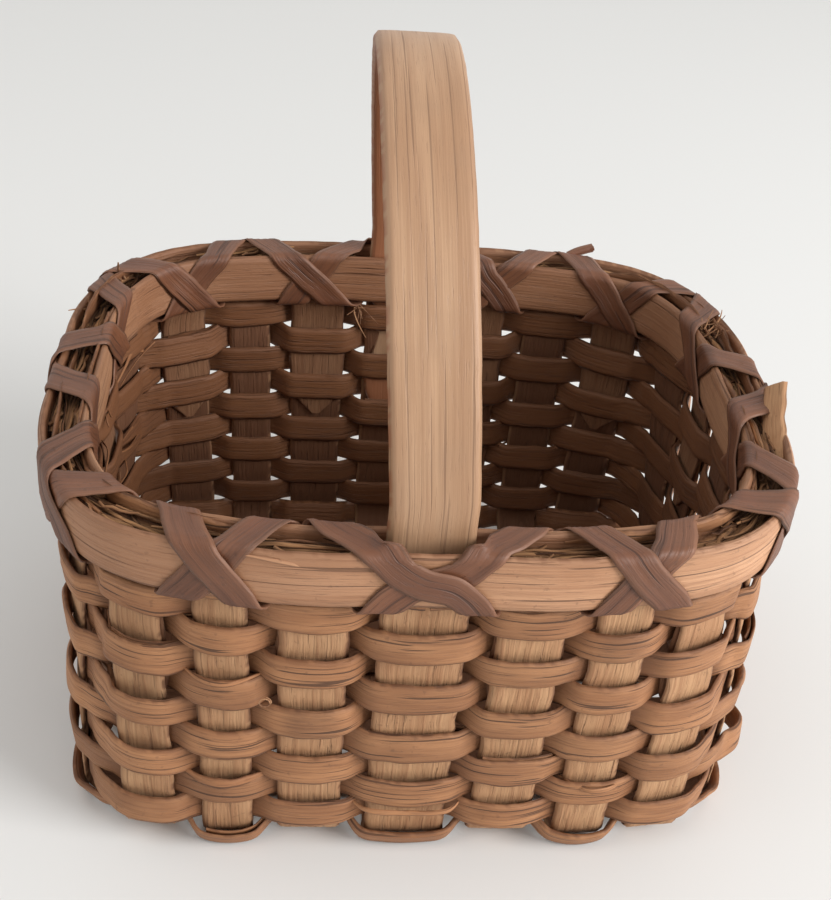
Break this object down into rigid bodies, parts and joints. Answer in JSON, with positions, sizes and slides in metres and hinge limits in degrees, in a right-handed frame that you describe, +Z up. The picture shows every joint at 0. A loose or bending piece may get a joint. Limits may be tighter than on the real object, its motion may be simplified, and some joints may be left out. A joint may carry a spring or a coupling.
{
  "type": "gathering basket",
  "caption": "Small rectangular plain-woven splint basket with tucked stakes, a lashed double rim and a fixed hoop handle over its width.",
  "frame": {"origin": "middle of the flat underside, at the centre of the base's middle crossing", "axes": "+X to the right along the long side, +Y from front to back along the handle's span, +Z up"},
  "size_m": [0.1186, 0.1, 0.1154],
  "materials": {
    "stake_splint": "rough split wood, matt",
    "weaver_splint": "smooth split wood with dark grain, satin",
    "rim_splint": "shaved wood, satin",
    "handle_splint": "smooth shaved wood, satin",
    "lashing_reed": "dark flat reed, matt",
    "rim_filler": "twisted grass cord, rough"
  },
  "bodies": {
    "root": {"stake_front_to_back_1": "stake_splint", "stake_front_to_back_2": "stake_splint", "stake_front_to_back_3": "stake_splint", "stake_front_to_back_4": "stake_splint", "stake_front_to_back_5": "stake_splint", "stake_front_to_back_6": "stake_splint", "stake_front_to_back_7": "stake_splint", "stake_left_to_right_1": "stake_splint", "stake_left_to_right_2": "stake_splint", "stake_left_to_right_3": "stake_splint", "stake_left_to_right_4": "stake_splint", "stake_left_to_right_5": "stake_splint", "base_edge_weaver": "weaver_splint", "weaver_row_1": "weaver_splint", "weaver_row_2": "weaver_splint", "weaver_row_3": "weaver_splint", "weaver_row_4": "weaver_splint", "weaver_row_5": "weaver_splint", "weaver_row_6": "weaver_splint", "weaver_row_7": "weaver_splint", "weaver_row_8": "weaver_splint", "weaver_row_9": "weaver_splint", "rim_row_weaver": "weaver_splint", "outer_rim": "rim_splint", "inner_rim": "rim_splint", "rim_filler_right": "rim_filler", "rim_filler_left": "rim_filler", "handle_hoop": "handle_splint", "rim_lashing_under": "lashing_reed", "rim_lashing_over": "lashing_reed"}
  },
  "joints": []
}
